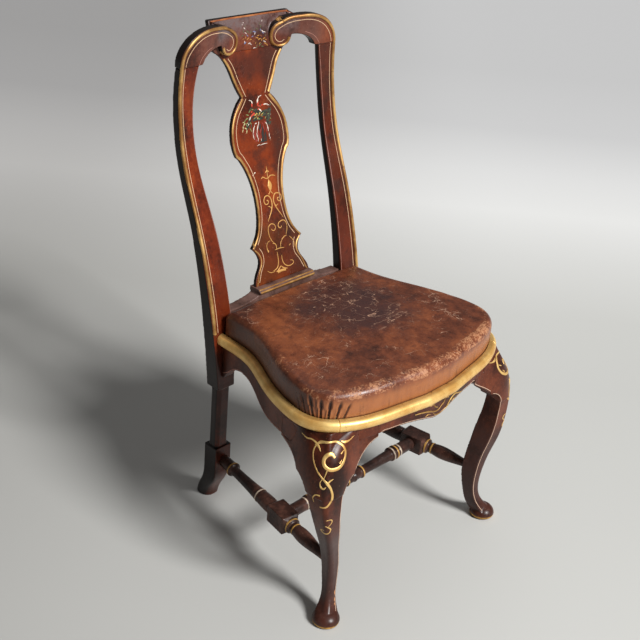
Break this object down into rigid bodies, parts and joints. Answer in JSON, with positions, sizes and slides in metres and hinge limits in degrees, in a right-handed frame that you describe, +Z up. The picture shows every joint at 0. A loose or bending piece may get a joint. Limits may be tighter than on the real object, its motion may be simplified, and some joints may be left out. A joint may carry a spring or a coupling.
{
  "type": "side chair",
  "caption": "Painted and gilt side chair: cabriole front legs, turned H-stretcher, vase-shaped splat, crest with volutes, leather drop-in seat inside a gilt lipping.",
  "frame": {"origin": "bottom centre of the whole chair's box, on the floor", "axes": "+Z up, +X to the right when you face the chair's front, +Y from the front of the seat to the back"},
  "size_m": [0.5808, 0.603, 0.998],
  "materials": {
    "painted_wood": "aged red-brown painted ground, varnished, with painted sprays and gilt and cream lines",
    "gilding": "worn water gilding over carved wood",
    "leather": "worn waxed brown leather with craquelure and scuffed edges",
    "bare_wood": "unfinished wood, sawn",
    "jute_webbing": "woven jute",
    "linen": "unbleached linen",
    "horsehair": "curled hair stuffing",
    "iron": "dark hand-made tacks and pins"
  },
  "bodies": {
    "frame": {"rear_post_left": "painted_wood", "rear_post_right": "painted_wood", "crest_rail": "painted_wood", "splat": "painted_wood", "splat_shoe": "painted_wood", "rear_seat_rail": "painted_wood", "side_rail_left": "painted_wood", "side_rail_right": "painted_wood", "front_rail": "painted_wood", "front_leg_left": "painted_wood", "front_leg_right": "painted_wood", "knee_bracket_front_left": "painted_wood", "knee_bracket_front_right": "painted_wood", "knee_bracket_side_left": "painted_wood", "knee_bracket_side_right": "painted_wood", "side_stretcher_left": "painted_wood", "side_stretcher_right": "painted_wood", "cross_stretcher": "painted_wood", "seat_moulding_front": "gilding", "seat_moulding_left": "gilding", "seat_moulding_right": "gilding", "moulding_pins": "iron"},
    "slip_seat": {"slip_frame_front": "bare_wood", "slip_frame_rear": "bare_wood", "slip_frame_left": "bare_wood", "slip_frame_right": "bare_wood", "webbing_crosswise": "jute_webbing", "webbing_lengthwise": "jute_webbing", "base_cloth": "linen", "stuffing": "horsehair", "leather_cover": "leather", "cover_tacks": "iron"}
  },
  "joints": [
    {"name": "seat_lift", "type": "slide", "parent": "frame", "child": "slip_seat", "axis": [0, 0, 1], "range_m": [0, 0.6]}
  ]
}
